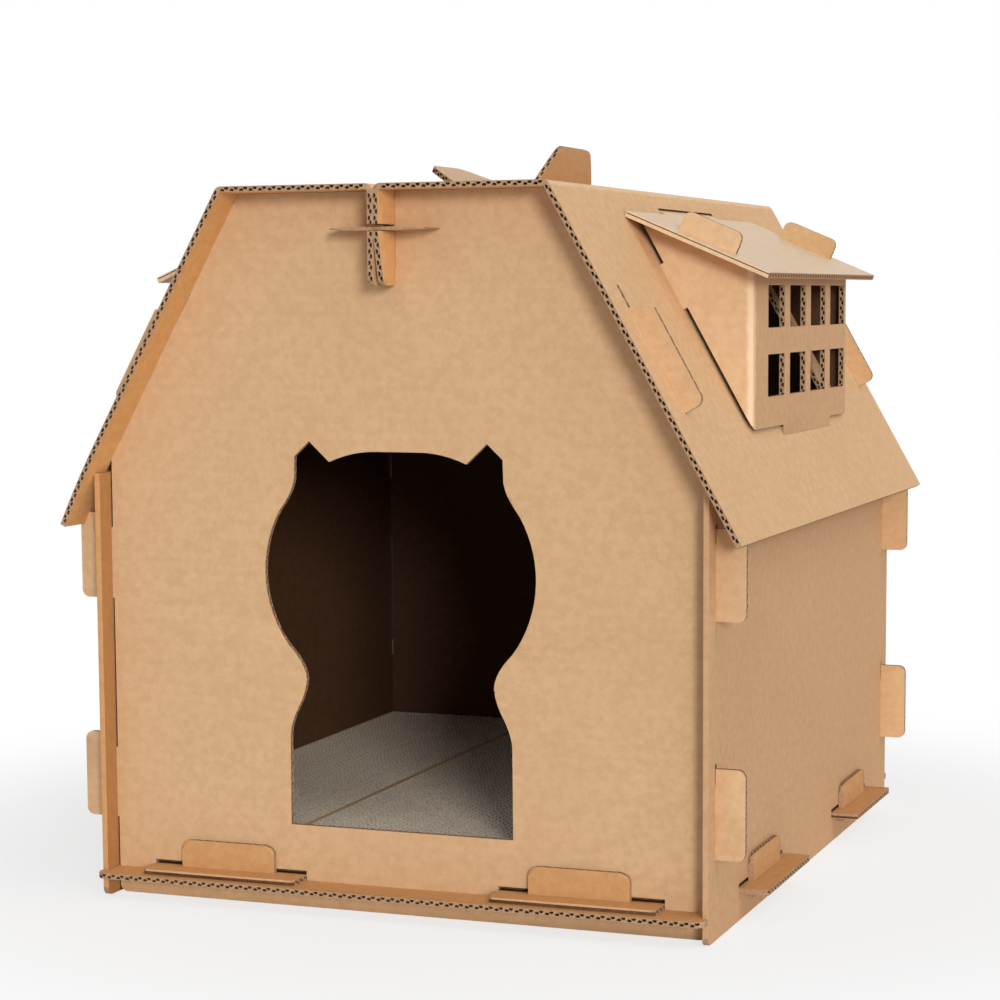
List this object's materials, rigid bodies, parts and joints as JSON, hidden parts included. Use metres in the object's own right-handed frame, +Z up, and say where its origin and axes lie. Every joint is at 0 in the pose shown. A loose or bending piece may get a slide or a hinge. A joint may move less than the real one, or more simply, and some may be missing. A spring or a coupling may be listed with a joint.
{
  "type": "cat condo",
  "caption": "Slot-together corrugated cardboard cat house with a cat-shaped doorway, flat-topped pitched roof, windowed side dormers, key-locked floor and scratch pads.",
  "frame": {"origin": "on the ground at the centre of the footprint", "axes": "+X to the house's right seen from the door, the door faces -Y, +Z up"},
  "size_m": [0.534, 0.602, 0.5789],
  "materials": {
    "kraft_board": "matt",
    "kraft_tongue": "matt",
    "kraft_key": "matt",
    "scratch_pad": "matt, open flutes"
  },
  "bodies": {
    "house": {"front_panel": "kraft_board", "back_panel": "kraft_board", "left_wall": "kraft_board", "right_wall": "kraft_board", "floor_panel": "kraft_board", "front_ledge": "kraft_board", "rear_ledge": "kraft_board", "roof_left": "kraft_board", "roof_right": "kraft_board", "pad_left": "scratch_pad", "pad_middle": "scratch_pad", "pad_right": "scratch_pad", "dormer_left_shell": "kraft_board", "dormer_left_roof": "kraft_board", "dormer_right_shell": "kraft_board", "dormer_right_roof": "kraft_board"},
    "front_key_left": {"front_key_left": "kraft_key"},
    "front_key_right": {"front_key_right": "kraft_key"},
    "rear_key_left": {"rear_key_left": "kraft_key"},
    "rear_key_right": {"rear_key_right": "kraft_key"},
    "left_key_front": {"left_key_front": "kraft_key"},
    "left_key_rear": {"left_key_rear": "kraft_key"},
    "right_key_front": {"right_key_front": "kraft_key"},
    "right_key_rear": {"right_key_rear": "kraft_key"},
    "ridge_key_front": {"ridge_key_front": "kraft_key"},
    "ridge_key_rear": {"ridge_key_rear": "kraft_key"},
    "tongue_left": {"tongue_left": "kraft_tongue"},
    "tongue_right": {"tongue_right": "kraft_tongue"}
  },
  "joints": [
    {"name": "front_key_left_lift", "type": "slide", "parent": "house", "child": "front_key_left", "axis": [0, 0, 1], "range_m": [0, 0.02]},
    {"name": "front_key_right_lift", "type": "slide", "parent": "house", "child": "front_key_right", "axis": [0, 0, 1], "range_m": [0, 0.02]},
    {"name": "rear_key_left_lift", "type": "slide", "parent": "house", "child": "rear_key_left", "axis": [0, 0, 1], "range_m": [0, 0.02]},
    {"name": "rear_key_right_lift", "type": "slide", "parent": "house", "child": "rear_key_right", "axis": [0, 0, 1], "range_m": [0, 0.02]},
    {"name": "left_key_front_lift", "type": "slide", "parent": "house", "child": "left_key_front", "axis": [0, 0, 1], "range_m": [0, 0.02]},
    {"name": "left_key_rear_lift", "type": "slide", "parent": "house", "child": "left_key_rear", "axis": [0, 0, 1], "range_m": [0, 0.02]},
    {"name": "right_key_front_lift", "type": "slide", "parent": "house", "child": "right_key_front", "axis": [0, 0, 1], "range_m": [0, 0.02]},
    {"name": "right_key_rear_lift", "type": "slide", "parent": "house", "child": "right_key_rear", "axis": [0, 0, 1], "range_m": [0, 0.02]},
    {"name": "ridge_key_front_pull", "type": "slide", "parent": "house", "child": "ridge_key_front", "axis": [0, -1, 0], "range_m": [0, 0.031]},
    {"name": "ridge_key_rear_pull", "type": "slide", "parent": "house", "child": "ridge_key_rear", "axis": [0, 1, 0], "range_m": [0, 0.031]},
    {"name": "tongue_right_crease", "type": "hinge", "parent": "house", "child": "tongue_right", "pos_m": [-0.004, 0.096, 0.53645], "axis": [0, 1, 0], "range_deg": [-18, 69]},
    {"name": "tongue_left_crease", "type": "hinge", "parent": "house", "child": "tongue_left", "pos_m": [-0.004, -0.056, 0.53645], "axis": [0, -1, 0], "range_deg": [-65, 22]}
  ]
}
